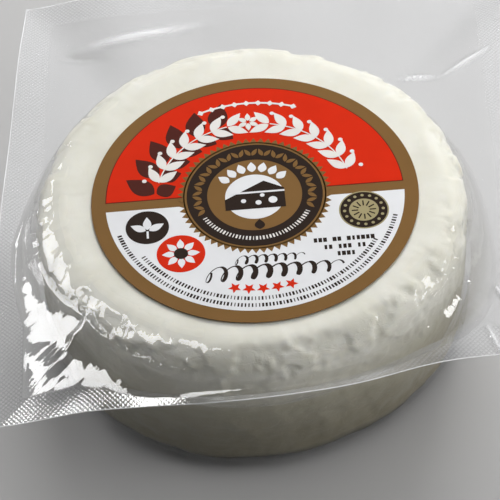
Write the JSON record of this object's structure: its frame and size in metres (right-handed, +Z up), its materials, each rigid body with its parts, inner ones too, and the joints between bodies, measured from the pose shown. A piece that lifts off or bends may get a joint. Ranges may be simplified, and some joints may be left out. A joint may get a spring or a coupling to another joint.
{
  "type": "vacuum-packed wheel of white cheese",
  "caption": "Round wheel of fresh white cheese, vacuum-packed in a clear bag with a wide flat flange, with a round label on top.",
  "frame": {"origin": "middle of the wheel's flat base", "axes": "+Z up through the label; -Y towards the narrow front flange, +Y towards the wide back flange, +X to the right as the label is read"},
  "size_m": [0.2373, 0.2712, 0.0792],
  "materials": {
    "cheese": "fresh white cheese under tight film, satin",
    "film": "clear glossy vacuum film",
    "print": "printed label, satin"
  },
  "bodies": {
    "root": {"cheese_wheel": "cheese", "bag": "film", "label": "print"}
  },
  "joints": []
}
